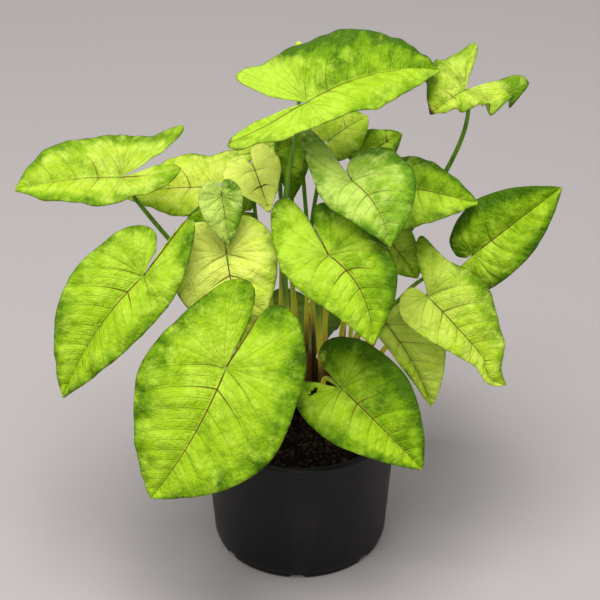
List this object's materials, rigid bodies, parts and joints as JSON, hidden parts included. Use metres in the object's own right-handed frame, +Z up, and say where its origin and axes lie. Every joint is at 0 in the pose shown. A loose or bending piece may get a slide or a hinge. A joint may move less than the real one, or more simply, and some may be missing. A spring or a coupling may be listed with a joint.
{
  "type": "potted syngonium plant",
  "caption": "Leafy houseplant with arrow-shaped, pale-mottled green leaves on arching stalks, standing in soil in a plain round black nursery pot.",
  "frame": {"origin": "centre of the pot's flat underside, on the surface it stands on", "axes": "+Z up; -Y is the front, where the two large low leaves hang over the pot's rim"},
  "size_m": [0.3121, 0.2587, 0.3286],
  "materials": {
    "pot": "black, satin",
    "soil": "dark, crumbly potting soil",
    "stem_green": "smooth green stem",
    "leaf_green": "smooth leaf, soft sheen",
    "leaf_lime": "smooth leaf, soft sheen",
    "leaf_yellow": "smooth leaf, soft sheen",
    "leaf_pale": "smooth leaf, soft sheen"
  },
  "bodies": {
    "root": {"pot": "pot", "soil": "soil", "stem_left": "stem_green", "stem_middle": "stem_green", "stem_right": "stem_green", "rolled_leaf": "stem_green", "leaf_top": "leaf_green", "leaf_top_right": "leaf_lime", "leaf_top_left": "leaf_lime", "leaf_back_left": "leaf_yellow", "leaf_young": "leaf_yellow", "leaf_behind_stalk": "leaf_green", "leaf_pale": "leaf_pale", "leaf_right_back": "leaf_green", "leaf_right": "leaf_green", "leaf_lower_right": "leaf_lime", "leaf_under_right": "leaf_lime", "leaf_front_right": "leaf_green", "leaf_front_left": "leaf_green", "leaf_middle_left": "leaf_yellow", "leaf_left": "leaf_green", "leaf_middle": "leaf_green", "leaf_shaded": "leaf_green", "leaf_folded": "leaf_pale", "leaf_back_top": "leaf_lime", "leaf_back_right": "leaf_green", "leaf_right_tip": "leaf_lime", "leaf_small_pale": "leaf_lime", "leaf_behind_top": "leaf_yellow", "leaf_back_low": "leaf_green", "leaf_back_low_left": "leaf_green", "leaf_back_low_right": "leaf_lime", "leaf_back_high": "leaf_green", "leaf_back_mid": "leaf_green"}
  },
  "joints": []
}
